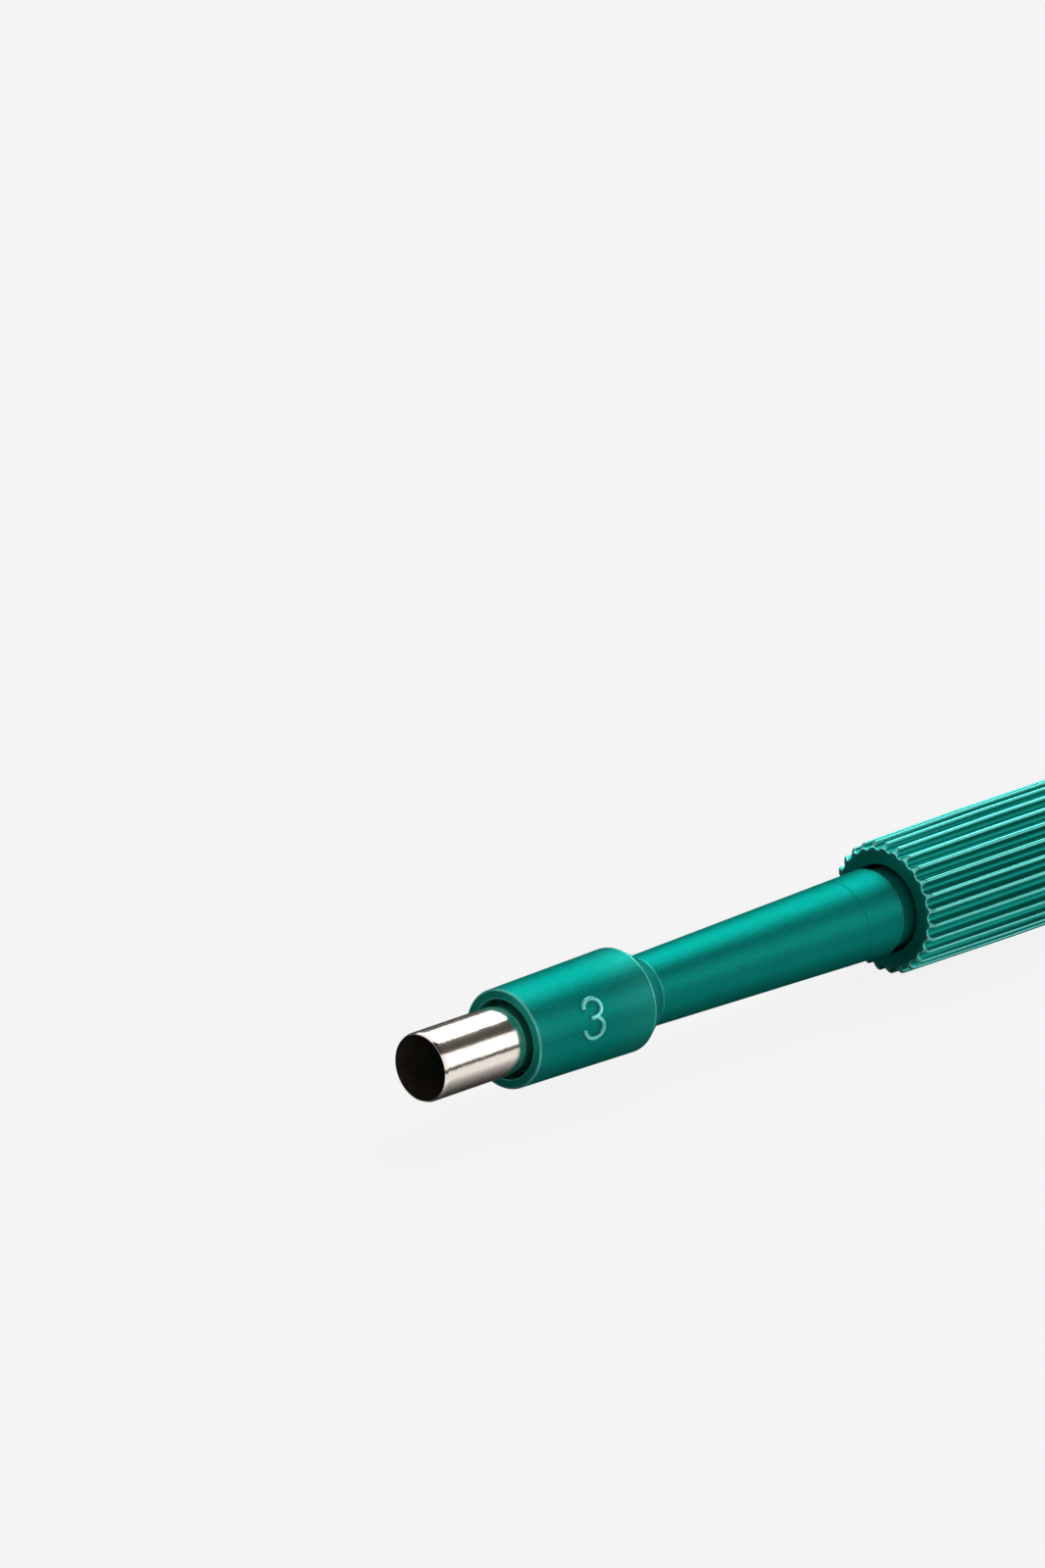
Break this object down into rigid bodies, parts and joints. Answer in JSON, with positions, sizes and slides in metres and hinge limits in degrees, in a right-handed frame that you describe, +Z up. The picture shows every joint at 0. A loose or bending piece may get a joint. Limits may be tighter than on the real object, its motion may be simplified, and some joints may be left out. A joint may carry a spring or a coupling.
{
  "type": "biopsy punch",
  "caption": "Skin biopsy punch: a thin round steel cutting tube in a stepped, tapered front body, with a long round grip ribbed lengthwise.",
  "frame": {"origin": "centre of the cutting edge, on the axis of the punch", "axes": "+X runs along the axis from the cutting edge to the closed end of the grip, and +Z is up with the punch lying on two ribs of its grip"},
  "size_m": [0.098, 0.0064, 0.0064],
  "materials": {
    "tube_steel": "drawn and ground",
    "green_moulding": "satin moulded",
    "green_grip": "satin moulded"
  },
  "bodies": {
    "root": {"blade_tube": "tube_steel", "front_body": "green_moulding", "ribbed_grip": "green_grip"}
  },
  "joints": []
}
